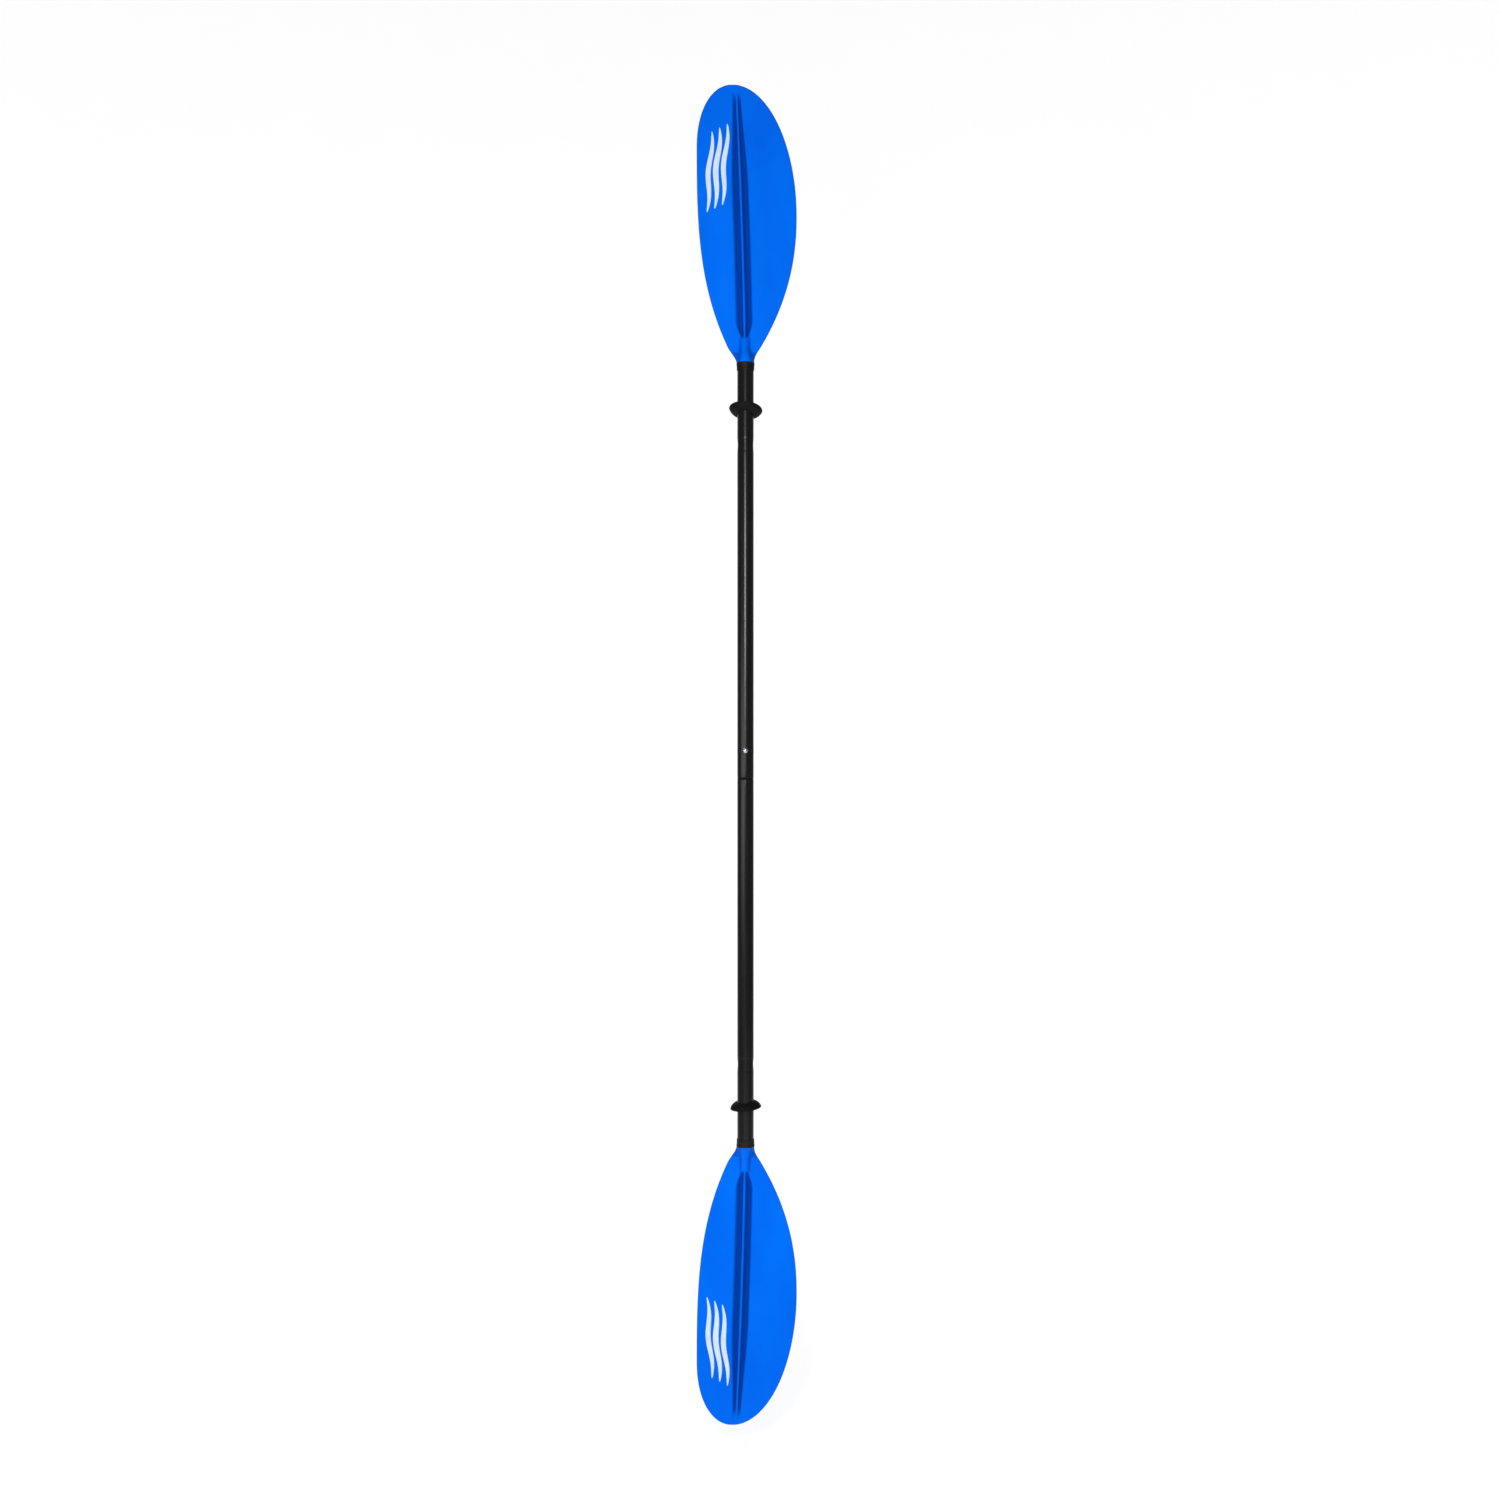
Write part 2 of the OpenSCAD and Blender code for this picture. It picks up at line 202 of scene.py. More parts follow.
# ---------------------------------------------------------------- materials
class Nodes:
    """Builds one material's node tree."""

    def __init__(self, name):
        self.material = bpy.data.materials.new(name)
        self.material.use_nodes = True
        self.tree = self.material.node_tree
        self.shader = next(n for n in self.tree.nodes if n.type == "BSDF_PRINCIPLED")
        self.place = self.add("ShaderNodeTexCoord").outputs["Object"]

    def add(self, kind, **values):
        node = self.tree.nodes.new(kind)
        for key, value in values.items():
            if hasattr(node, key):
                setattr(node, key, value)
            else:
                node.inputs[key.replace("_", " ").title()].default_value = value
        return node

    def link(self, a, b):
        self.tree.links.new(a, b)

    def stretched(self, scale):
        node = self.add("ShaderNodeMapping")
        node.inputs["Scale"].default_value = scale
        self.link(self.place, node.inputs["Vector"])
        return node.outputs["Vector"]

    def noise(self, scale, detail=3.0, rough=0.5, stretch=None):
        node = self.add("ShaderNodeTexNoise")
        node.inputs["Scale"].default_value = scale
        node.inputs["Detail"].default_value = detail
        node.inputs["Roughness"].default_value = rough
        self.link(self.stretched(stretch) if stretch else self.place, node.inputs["Vector"])
        return node.outputs["Fac"]

    def attribute(self, name):
        return self.add("ShaderNodeAttribute", attribute_name=name).outputs["Fac"]

    def spread(self, value, low, high, start=0.3, end=0.7):
        """value from start...end spread over low...high"""
        node = self.add("ShaderNodeMapRange")
        for key, v in (("From Min", start), ("From Max", end), ("To Min", low), ("To Max", high)):
            node.inputs[key].default_value = v
        self.link(value, node.inputs["Value"])
        return node.outputs["Result"]

    def blend(self, factor, a, b):
        node = self.add("ShaderNodeMix", data_type="RGBA")
        for socket, value in ((node.inputs[6], a), (node.inputs[7], b)):
            if isinstance(value, tuple):
                socket.default_value = (*value, 1)
            else:
                self.link(value, socket)
        self.link(factor, node.inputs[0])
        return node.outputs[2]

    def sum(self, a, b, scale=1.0):
        node = self.add("ShaderNodeMath", operation="MULTIPLY_ADD")
        self.link(b, node.inputs[0])
        node.inputs[1].default_value = scale
        self.link(a, node.inputs[2])
        return node.outputs[0]

    def finish(self, colour, roughness, height=None, bump_mm=0.0, **sockets):
        self.link(colour, self.shader.inputs["Base Color"])
        self.link(roughness, self.shader.inputs["Roughness"])
        if height is not None:
            bump = self.add("ShaderNodeBump")
            bump.inputs["Strength"].default_value = 1.0
            bump.inputs["Distance"].default_value = bump_mm * MM
            self.link(height, bump.inputs["Height"])
            self.link(bump.outputs["Normal"], self.shader.inputs["Normal"])
        for key, value in sockets.items():
            self.shader.inputs[key.replace("_", " ")].default_value = value
        return self.material


def blade_plastic():
    n = Nodes("blade_plastic")
    cloud = n.noise(11, detail=2.5, rough=0.55, stretch=(1, 1, 0.55))
    body = n.blend(n.spread(cloud, 0, 1), (0.0, 0.136, 0.88), (0.0, 0.166, 0.97))
    # painted shade: the flutes and the neck beside the column are coloured a darker blue
    colour = n.blend(n.attribute("painted_shade"), body, (0.0, 0.048, 0.38))
    grain = n.noise(900, detail=2)
    scuffs = n.noise(60, detail=4, stretch=(1, 1, 0.12))
    rough = n.spread(n.sum(grain, scuffs, 0.6), 0.44, 0.56, 0.5, 1.1)
    return n.finish(colour, rough, grain, 0.03, Specular_IOR_Level=0.12,
                    Specular_Tint=(0.1, 0.5, 1, 1))


def mark_ink():
    n = Nodes("mark_ink")
    cloud = n.noise(70, detail=3)
    colour = n.blend(n.spread(cloud, 0, 1), (0.62, 0.78, 0.93), (0.72, 0.86, 0.98))
    return n.finish(colour, n.spread(n.noise(400), 0.4, 0.5), n.noise(1500), 0.01,
                    Specular_IOR_Level=0.3)


def shaft_coat():
    n = Nodes("shaft_coat")
    drawn = n.noise(240, detail=4, stretch=(1, 1, 0.03))
    peel = n.noise(1500, detail=2)
    colour = n.blend(n.spread(drawn, 0, 1), (0.0045, 0.0046, 0.005), (0.0075, 0.0076, 0.008))
    rough = n.spread(n.sum(peel, drawn, 0.8), 0.22, 0.28, 0.6, 1.1)
    return n.finish(colour, rough, peel, 0.004, Specular_IOR_Level=0.26)


def collar_plastic(name, dark, light):
    n = Nodes(name)
    grain = n.noise(1400, detail=3)
    cloud = n.noise(90, detail=3)
    colour = n.blend(n.spread(cloud, 0, 1), dark, light)
    return n.finish(colour, n.spread(grain, 0.5, 0.65), grain, 0.03, Specular_IOR_Level=0.2)


def rubber(name, dark, light, rough_low=0.62, rough_high=0.8):
    n = Nodes(name)
    grain = n.noise(1100, detail=4, rough=0.6)
    dust = n.noise(45, detail=5, rough=0.6)
    colour = n.blend(n.spread(dust, 0, 1, 0.35, 0.7), dark, light)
    return n.finish(colour, n.spread(grain, rough_low, rough_high), grain, 0.04,
                    Specular_IOR_Level=0.1)


def foam():
    n = Nodes("plug_foam")
    cells = n.add("ShaderNodeTexVoronoi")
    cells.inputs["Scale"].default_value = 900
    n.link(n.place, cells.inputs["Vector"])
    cell = cells.outputs["Distance"]
    colour = n.blend(n.spread(cell, 0, 1, 0.0, 0.7), (0.62, 0.61, 0.56), (0.82, 0.81, 0.77))
    return n.finish(colour, n.spread(n.noise(500), 0.85, 0.95), cell, 0.25,
                    Specular_IOR_Level=0.2)


def ferrule_plastic():
    n = Nodes("ferrule_plastic")
    flow = n.noise(60, detail=4, stretch=(1, 1, 0.1))
    grain = n.noise(1600, detail=2)
    colour = n.blend(n.spread(flow, 0, 1), (0.012, 0.012, 0.013), (0.024, 0.024, 0.025))
    rough = n.spread(n.sum(grain, flow, 0.7), 0.26, 0.38, 0.5, 1.1)
    return n.finish(colour, rough, grain, 0.008, Specular_IOR_Level=0.45)


def steel(name, colour_low, colour_high, rough_low, rough_high, stretch):
    n = Nodes(name)
    lines = n.noise(500, detail=4, stretch=stretch)
    colour = n.blend(n.spread(lines, 0, 1), colour_low, colour_high)
    return n.finish(colour, n.spread(lines, rough_low, rough_high), lines, 0.004, Metallic=1.0)


BLADE = blade_plastic()
MARK = mark_ink()
SHAFT = shaft_coat()
# The two collars are one black plastic: the upper copy is coloured darker and the lower copy lighter,
# painted shade and painted light for how each one is lit
COLLAR_UP_PAINTED_DARK = collar_plastic("collar_upper_painted_dark", (0.003, 0.003, 0.0033), (0.006, 0.006, 0.0063))
COLLAR_LO_PAINTED_LIGHT = collar_plastic("collar_lower_painted_light", (0.006, 0.006, 0.0063), (0.010, 0.010, 0.0103))
RING = rubber("ring_rubber", (0.0045, 0.0045, 0.0047), (0.008, 0.008, 0.0083))
SEAL = rubber("seal_rubber", (0.003, 0.003, 0.003), (0.006, 0.006, 0.006), 0.6, 0.8)
FOAM = foam()
FERRULE = ferrule_plastic()
BUTTON = steel("button_steel", (0.54, 0.58, 0.64), (0.64, 0.68, 0.74), 0.14, 0.22, (1, 1, 1))
SPRING = steel("spring_steel", (0.50, 0.50, 0.51), (0.62, 0.62, 0.63), 0.24, 0.38, (0.1, 1, 0.1))


# ---------------------------------------------------------------- blades
def long_edge(t):
    """How far the edge at -X lies from the shaft's axis, at t from the neck"""
    if t < LONG_AT:
        return LONG_REACH - LONG_GROWTH * (1 - t / LONG_AT) ** 3
    s = (t - LONG_AT) / (BLADE_LEN - LONG_AT)
    fullness = max(0.0, 1 - s ** TIP_FULLNESS) ** (1 / TIP_FULLNESS)
    return TIP_OFFSET + (LONG_REACH - TIP_OFFSET) * fullness


def short_edge(t):
    """How far the edge at +X lies from the shaft's axis, at t from the neck"""
    if t < SHORT_AT:
        neck_flare = 3 * math.exp(-(t / 12) ** 2)
        return SHORT_REACH - SHORT_GROWTH * (1 - t / SHORT_AT) ** 2.15 + neck_flare
    s = (t - SHORT_AT) / (BLADE_LEN - SHORT_AT)
    return -TIP_OFFSET + (SHORT_REACH + TIP_OFFSET) * math.sqrt(max(0.0, 1 - s * s))


def rib_x(t):
    """Where the rib runs: it drifts towards -X, and ends midway between the edges"""
    middle = (short_edge(t) - long_edge(t)) / 2
    return mix(-1 - 15 * (t / BLADE_LEN) ** 1.5, middle, ease((t + 22 - BLADE_LEN) / 20))


def face_y(t, d):
    """The forward curve along the blade, and the shallow roof shape across it"""
    return ROOF_SLOPE * np.abs(d) * ease(t / ROOF_RUN) - TIP_CURVE * (t / BLADE_LEN) ** 1.8


def half_plate(w):
    """Half the plate's thickness at w from the edge: thinner outwards, and rounded at the rim"""
    w = np.maximum(w, 0)
    rim = np.sqrt(1 - (1 - np.minimum(1, w / RIM_RUN)) ** 2)
    return mix(EDGE_SHARE, 1, ease(w / EDGE_RUN)) * BLADE_T / 2 * rim


def ridge(h, w, d):
    """A rounded ridge of height h and half-width w"""
    return h * np.maximum(0, 1 - (d / w) ** 2) ** 1.5


COLUMN_H, COLUMN_LEN = 13, 62


def column_y(t, d):
    """The column that carries the neck into the rib"""
    return ridge(COLUMN_H * (1 - ease(t / COLUMN_LEN)), mix(17, 11, ease(t / 26)), d)


def spine_y(t, d):
    """The rounded spine on the back"""
    return ridge(SPINE_H * (1 - min(1, t / 450) ** 2), mix(21, 13, t / BLADE_LEN), d)


RIB_HALF = 1.1
FLUTE_START, FLUTE_FULL, FLUTE_FADE, FLUTE_END = 36, 60, 180, 455
WEB_LEN = 19


def flute_shape(t, d):
    """(how deep the flutes are at t, from 0 to 1; how far across its flute each point lies)"""
    reach = mix(6.5, 14.5, ease((t - 38) / 34)) * mix(1, 0.5, ease((t - 290) / 165))
    depth = max(0.0, ease((t - FLUTE_START) / (FLUTE_FULL - FLUTE_START))
                * (1 - max(0, (t - FLUTE_FADE) / (FLUTE_END - FLUTE_FADE)) ** 5))
    return depth, (np.abs(d) - RIB_HALF) / (reach - RIB_HALF)


def flute_y(t, d):
    depth, w = flute_shape(t, d)
    inside = (w > 0) & (w < 1)
    return np.where(inside, FLUTE_DEPTH * depth * np.sin(math.pi * np.clip(w, 0, 1)), 0)


def painted_shade(t, d):
    """Painted shade: how much darker the plastic is coloured in the flutes and beside the column at
    the neck, in place of the shade that falls there
    """
    depth, w = flute_shape(t, d)
    lip = np.where(d > 0, (w - 0.76) / 0.3, (w - 0.6) / 0.6)
    flute = ease(depth * 3) * ease(w / 0.10) * (1 - ease(lip))
    away = np.abs(d)
    web = 0.5 * ease((WEB_LEN - t) / 3) * ease((away - 4.5) / 3)
    flank = 0.5 * ease(t / 6) * ease((COLUMN_LEN - t) / 20) * ease((away - 4) / 3) \
        * (1 - ease((away - mix(9, 6, t / 60)) / 3))
    return np.maximum(flute, np.maximum(web, flank))


INNER = np.concatenate([np.arange(0, 8, 0.5), np.arange(8, 16.1, 0.8)])
RIM = np.array([3.6, 2.9, 2.3, 1.8, 1.35, 0.95, 0.6, 0.33, 0.13, 0.0])
OUTER_STEPS = 16
HALF = len(INNER) - 1 + OUTER_STEPS + len(RIM)


def half_section(t, sign):
    """x of the section's points on one side, from the rib outwards"""
    edge = short_edge(t) if sign > 0 else long_edge(t)
    room = edge - sign * rib_x(t)
    inner = INNER * min(1, room / 34)
    rest = room - inner[-1]
    rim = RIM * min(1, rest / 8)
    outer = inner[-1] + (rest - rim[0]) * np.arange(1, OUTER_STEPS + 1) / (OUTER_STEPS + 1)
    return rib_x(t) + sign * np.concatenate([inner, outer, room - rim])


def blade_section(t):
    """Both faces' points at t, round the section, with the painted shade of the flutes and the neck at
    each
    """
    left, right = half_section(t, -1), half_section(t, 1)
    xs = np.concatenate([left[:0:-1], right])
    d = xs - rib_x(t)
    w = np.minimum(np.minimum(xs + long_edge(t), short_edge(t) - xs), BLADE_LEN - t)
    front = face_y(t, d) - half_plate(w) - column_y(t, d) + flute_y(t, d)
    back = face_y(t, d) + half_plate(w) + spine_y(t, d)
    front[0] = back[0] = face_y(t, d[0])
    front[-1] = back[-1] = face_y(t, d[-1])
    loop = np.concatenate([
        np.stack([xs, front], axis=1),
        np.stack([xs[-2:0:-1], back[-2:0:-1]], axis=1),
    ])
    # painted shade on the front face's points; none on the back
    shade = np.concatenate([painted_shade(t, d), np.zeros(len(xs) - 2)])
    return loop, shade


def round_section(r):
    a = np.linspace(-90, 90, 2 * HALF + 1) * math.pi / 180
    front = np.stack([r * np.sin(a), -r * np.cos(a)], axis=1)
    back = np.stack([r * np.sin(a[-2:0:-1]), r * np.cos(a[-2:0:-1])], axis=1)
    return np.concatenate([front, back])


def tang_profile():
    waist_low, waist_high = -CRIMP_FROM_NECK - CRIMP_HALF, -CRIMP_FROM_NECK + CRIMP_HALF
    groove_low, groove_high = -SEAL_AT - SEAL_GROOVE_HALF, -SEAL_AT + SEAL_GROOVE_HALF
    return [
        (-TANG_LEN, TANG_R - 1.4), (-TANG_LEN + 0.6, TANG_R - 0.8), (-TANG_LEN + 2.5, TANG_R),
        (waist_low, TANG_R), (waist_low + 1, WAIST_R), (waist_high - 1, WAIST_R),
        (waist_high, TANG_R), (groove_low, TANG_R), (groove_low + 0.05, SEAL_GROOVE_R),
        (groove_high - 0.05, SEAL_GROOVE_R), (groove_high, TANG_R), (-0.05, TANG_R),
    ]


def blade_rows():
    near = np.arange(0.4, 76, 0.8)
    steps = 150
    far = mix(near[-1], BLADE_LEN - TIP_FLAT, 1 - (1 - np.arange(1, steps + 1) / steps) ** 1.9)
    return np.concatenate([near, far])


def blade(name):
    rings, shades = [], []
    for z, r in tang_profile():
        ring = round_section(r)
        rings.append(np.column_stack([ring, np.full(len(ring), z)]))
    # the shoulder against the tube's end is eased, so that it catches the light
    for z, r in ((0.0, NECK_R - 0.35), (0.12, NECK_R - 0.1)):
        ring = round_section(r)
        rings.append(np.column_stack([ring, np.full(len(ring), z)]))
    for ring in rings:
        shades.append(np.zeros(len(ring)))
    for t in blade_rows():
        loop, shade_here = blade_section(t)
        w = 1 - (1 - min(1, t / NECK_RUN)) ** 2
        rings.append(np.column_stack([mix(round_section(NECK_R), loop, w), np.full(len(loop), t)]))
        shades.append(shade_here)
    points, faces = skin(rings)
    obj = mesh_object(name, points, faces, BLADE, smooth_angle=50)
    # the painted shade of the flutes and the neck, stored per point
    layer = obj.data.attributes.new("painted_shade", "FLOAT", "POINT")
    layer.data.foreach_set("value", np.concatenate(shades).astype(np.float32))
    return obj


def front_face(x, t):
    d = np.asarray(x - rib_x(t))
    w = np.asarray(min(x + long_edge(t), short_edge(t) - x))
    return float(face_y(t, d) - half_plate(w))


def ripple(name, centre_x, t0, t1, half_width, swing):
    """A printed stripe that waves along the blade and tapers to both ends. It is a closed
    solid that stands a little out of the power face and is rooted in it."""
    proud, root = 0.12, 0.25
    steps, across = 96, 7
    grid_top, grid_low = [], []
    for i in range(steps + 1):
        u = i / steps
        t = mix(t0, t1, u)
        x = centre_x + 0.065 * (t - (t0 + t1) / 2) + swing * math.sin(2 * math.pi * 1.5 * u)
        half = half_width * max(0.02, math.sin(math.pi * u) ** 0.55)
        for k in range(across):
            px = x + half * (2 * k / (across - 1) - 1)
            y = front_face(px, t)
            grid_top.append((px, y - proud, t))
            grid_low.append((px, y + root, t))
    n = (steps + 1) * across
    faces = []
    for i in range(steps):
        for k in range(across - 1):
            a = i * across + k
            faces.append((a, a + 1, a + across + 1, a + across))
            faces.append((n + a, n + a + across, n + a + across + 1, n + a + 1))
    border = list(range(across))
    border += [i * across + across - 1 for i in range(1, steps + 1)]
    border += [steps * across + k for k in range(across - 2, -1, -1)]
    border += [i * across for i in range(steps - 1, 0, -1)]
    for a, b in zip(border, border[1:] + border[:1]):
        faces.append((a, n + a, n + b, b))
    return mesh_object(name, grid_top + grid_low, faces, MARK, smooth_angle=30)


STRIPES = ((-61, 6.0), (-48, 7.0), (-35, 6.0))


def blade_set(side, body, place):
    b = blade(side + "_blade_skin")
    piece(move(b, place), body, [side + "_blade"])
    for i, (x, half) in enumerate(STRIPES):
        stripe = ripple(f"{side}_mark_{i + 1}", x, 254 + 6 * i, 388 + 6 * i, half / 2 + 1.2, 2.2)
        piece(move(stripe, place), body)


# ---------------------------------------------------------------- tubes
def ball_radius(angles, dz, grow):
    """How far from the axis the two crimp balls let the wall reach, in each direction"""
    c = TUBE_R - CRIMP_DEPTH + CRIMP_BALL
    r = CRIMP_BALL + grow
    cosine = np.abs(np.cos(angles))
    inside = (c * cosine) ** 2 - (c * c - r * r + dz * dz)
    near = c * cosine - np.sqrt(np.maximum(inside, 0))
    return np.where(inside > 0, near, 99.0)


def soft_min(a, b, k):
    h = np.clip(0.5 + 0.5 * (b - a) / k, 0, 1)
    return mix(b, a, h) - k * h * (1 - h)


def tube(name, length):
    """A tube from its lip at z = 0 to its blade end, with its crimps"""
    crimp_z = length - CRIMP_FROM_NECK
    angles = np.arange(AXIS_STEPS) * 2 * math.pi / AXIS_STEPS
    zs = list(np.arange(LIP_R, crimp_z - CRIMP_HALF - 1, 12.0))
    zs += list(np.arange(crimp_z - CRIMP_HALF - 1, crimp_z + CRIMP_HALF + 1.1, 0.5))
    zs += list(np.arange(crimp_z + CRIMP_HALF + 6, length - 1, 12.0)) + [length - 0.15]

    def outer(z):
        edge = abs(z - crimp_z)
        drawn = ease((CRIMP_HALF - edge) / CRIMP_RUN_OUT) * CRIMP_DRAW
        r = np.full(AXIS_STEPS, TUBE_R - drawn)
        return soft_min(r, ball_radius(angles, z - crimp_z, 0), 0.06)

    def inner(z):
        r = np.full(AXIS_STEPS, BORE_R)
        return soft_min(r, ball_radius(angles, z - crimp_z, TUBE_R - BORE_R), 0.06)

    def ring(r, z):
        r = np.broadcast_to(r, (AXIS_STEPS,))
        return np.stack([r * np.cos(angles), r * np.sin(angles), np.full(AXIS_STEPS, z)], axis=1)

    rings = [ring(BORE_R + 0.1, 0.0)]
    for k in range(9):
        a = k * math.pi / 16
        rings.append(ring(TUBE_R - LIP_R + LIP_R * math.sin(a), LIP_R - LIP_R * math.cos(a)))
    rings += [ring(outer(z), z) for z in zs[1:]]
    rings += [ring(TUBE_R - 0.15, length), ring(BORE_R, length)]
    rings += [ring(inner(z), z) for z in reversed(zs[1:-1])]
    rings += [ring(BORE_R, 0.1)]
    points, faces = skin(rings, closed_loop=True)
    return mesh_object(name, points, faces, SHAFT, smooth_angle=35)


def hole_cutter(r, angle, z):
    """A round drill from the axis outwards, at an angle from the front"""
    steps = 64
    a = np.arange(steps) * 2 * math.pi / steps
    rings = [
        np.stack([r * np.cos(a), np.full(steps, -y), z + r * np.sin(a)], axis=1)
        for y in (4.0, 20.0)
    ]
    points, faces = skin(rings)
    obj = mesh_object("drill", points, faces, SHAFT)
    return move(obj, Matrix.Rotation(math.radians(angle), 4, "Z"))


def collar(name, material):
    """The flared collar, from z = -COLLAR_LEN to the neck at z = 0"""
    low = -COLLAR_LEN
    inner = TUBE_R + 0.05
    outside = spline(
        [(TUBE_R + 0.45, low), (TUBE_R + 0.7, low + 0.18), (TUBE_R + 0.9, low + 0.8),
         (TUBE_R + 1.0, low / 2), (TUBE_R + 1.3, -3.5), (TUBE_R + 1.48, -1.6),
         (TUBE_R + 1.48, -0.5), (TUBE_R + 1.2, 0.0)], steps=5)
    profile = [(inner, low + 0.1), (inner + 0.1, low)] + outside + [(inner + 0.1, 0.0), (inner, -0.1)]
    return lathe(name, profile, material, smooth_angle=55)


def dome(rim_r, low, steps=14):
    """The domed section of a skirt, from its foot on the hub to its rim"""
    u = np.arange(steps + 1) / steps
    bulge = 0.6
    r = mix(RING_HUB_R, rim_r, mix(u, np.sin(u * math.pi / 2), bulge))
    z = low * (1 - mix(u, 1 - np.cos(u * math.pi / 2), bulge))
    return list(zip(r, z))


def drip_ring(name, ring_r, lean, roll):
    """A cup with a hub and a thin rim. The soft ring leans as one body about its middle, and
    its bore stays in line with the tube."""
    core_r, low = TUBE_R - 4, -RING_HEIGHT
    outside = dome(ring_r - 0.05, low)
    inside = dome(ring_r - RING_RIM_T, low + SKIRT_T)[::-1]
    foot, crown = inside[-1][1], RING_HUB_R - 0.05
    profile = [(core_r, low), (RING_HUB_R - 0.6, low)] + outside[1:-1]
    profile += spline([(ring_r - 0.05, -0.45), (ring_r - 0.22, -0.1), (ring_r - 0.6, -0.02),
                       (ring_r - 1.0, -0.12), (ring_r - RING_RIM_T, -0.5)], steps=3)
    profile += inside[1:-2]
    profile += spline([inside[-2], (crown + 0.9, foot + 0.12), (crown + 0.25, foot + 0.5),
                       (crown, foot + 1.3)], steps=3)
    profile += [(crown, -0.6), (crown - 0.15, -0.2), (crown - 0.5, -0.02), (core_r, -0.02)]
    obj = lathe(name, profile, RING, smooth_angle=50)
    middle = at_height(-RING_HEIGHT / 2)
    move(obj, middle @ Matrix.Rotation(math.radians(-lean), 4, "X")
         @ Matrix.Rotation(math.radians(roll), 4, "Y") @ middle.inverted())
    bore_r = TUBE_R + 0.05
    cut(obj, lathe("bore", [(0.5, -30), (bore_r, -30), (bore_r, 20), (0.5, 20)], RING))
    shade(obj, 50)
    return obj


def joint_ring(name):
    inner, outer = FERRULE_R + 0.05, TUBE_R - 0.4
    low, high = LIP_R + 0.05, LIP_R + SEAM_GAP - 0.05
    profile = [(inner, low + 0.1), (inner + 0.1, low)]
    profile += spline(
        [(outer - 0.5, low), (outer - 0.12, low + 0.12), (outer, low + 0.5), (outer, high - 0.5),
         (outer - 0.12, high - 0.12), (outer - 0.5, high)], steps=4)
    profile += [(inner + 0.1, high), (inner, high - 0.1)]
    return lathe(name, profile, SEAL, smooth_angle=50)


def ferrule(name):
    profile = [(FERRULE_BORE_R, -FERRULE_ROOT + 0.3), (FERRULE_BORE_R + 0.3, -FERRULE_ROOT),
               (FERRULE_R - 0.4, -FERRULE_ROOT), (FERRULE_R, -FERRULE_ROOT + 0.4),
               (FERRULE_R, FERRULE_REACH - 1.0), (FERRULE_R - 0.3, FERRULE_REACH - 0.35),
               (FERRULE_R - 1.0, FERRULE_REACH), (FERRULE_BORE_R + 0.4, FERRULE_REACH),
               (FERRULE_BORE_R, FERRULE_REACH - 0.4)]
    obj = lathe(name, profile, FERRULE, smooth_angle=32)
    cut(obj, hole_cutter(HOLE_R, 0, BUTTON_Z))
    shade(obj, 32)
    return obj


# ---------------------------------------------------------------- button and spring
SPRING_T, SPRING_W = 0.8, 8.0
SPRING_REACH = math.sqrt(FERRULE_BORE_R ** 2 - (SPRING_W / 2) ** 2) - SPRING_T / 2 - 0.05


def snap_button(name):
    seat = SPRING_REACH + SPRING_T / 2
    rivet_low = seat - SPRING_T - 0.9
    top = BUTTON_TOP
    profile = [(0.01, rivet_low + 0.05), (2.4, rivet_low + 0.12), (2.85, rivet_low + 0.35),
               (3.0, rivet_low + 0.7), (2.9, seat - SPRING_T), (2.0, seat - SPRING_T),
               (2.0, seat), (BUTTON_R - 0.2, seat), (BUTTON_R, seat + 0.2)]
    profile += spline(
        [(BUTTON_R, seat + 0.4), (BUTTON_R, seat + 0.4), (BUTTON_R, top - 1.9),
         (BUTTON_R - 0.12, top - 1.4), (BUTTON_R - 0.6, top - 0.95), (BUTTON_R - 1.6, top - 0.42),
         (BUTTON_R - 2.7, top - 0.12), (0.01, top)], steps=6)
    obj = lathe(name, profile, BUTTON, steps=96, smooth_angle=40)
    # profile axis to -Y
    move(obj, Matrix.Rotation(math.radians(90), 4, "X"))
    return move(obj, at_height(BUTTON_Z))


def button_spring(name):
    """The V-shaped strip, as one band along its path in the YZ plane"""
    bend_z, bend_r = BUTTON_Z - 40, 1.8
    knee_z, top_z = BUTTON_Z - 9, BUTTON_Z + 7
    half = [(bend_r * math.sin(a), bend_z - bend_r * math.cos(a))
            for a in np.linspace(0, math.pi / 2, 9)]
    lower, upper = np.array([bend_r, bend_z]), np.array([SPRING_REACH, knee_z])
    half += [tuple(mix(lower, upper, u)) for u in np.linspace(0.08, 0.93, 14)]
    half += [(SPRING_REACH - 0.12, knee_z - 1.2), (SPRING_REACH, knee_z + 1.0)]
    half += [(SPRING_REACH, z) for z in np.linspace(knee_z + 3, top_z, 6)]
    path = [(-y, z) for y, z in reversed(half[1:])] + half
    path = [np.array(p) for p in path]
    rings = []
    hw, ht, round_r = SPRING_W / 2, SPRING_T / 2, 0.2
    for i, p in enumerate(path):
        tangent = path[min(i + 1, len(path) - 1)] - path[max(i - 1, 0)]
        tangent = tangent / np.linalg.norm(tangent)
        normal = np.array([-tangent[1], tangent[0]])
        ends = min(i, len(path) - 1 - i)
        width = hw - (1.2 if ends == 0 else 0.35 if ends == 1 else 0)
        section = [(width - round_r, ht), (width, ht - round_r), (width, round_r - ht),
                   (width - round_r, -ht), (round_r - width, -ht), (-width, round_r - ht),
                   (-width, ht - round_r), (round_r - width, ht)]
        rings.append(np.array([[x, *(p + normal * n)] for x, n in section]))
    points, faces = skin(rings)
    return mesh_object(name, points, faces, SPRING, smooth_angle=35)


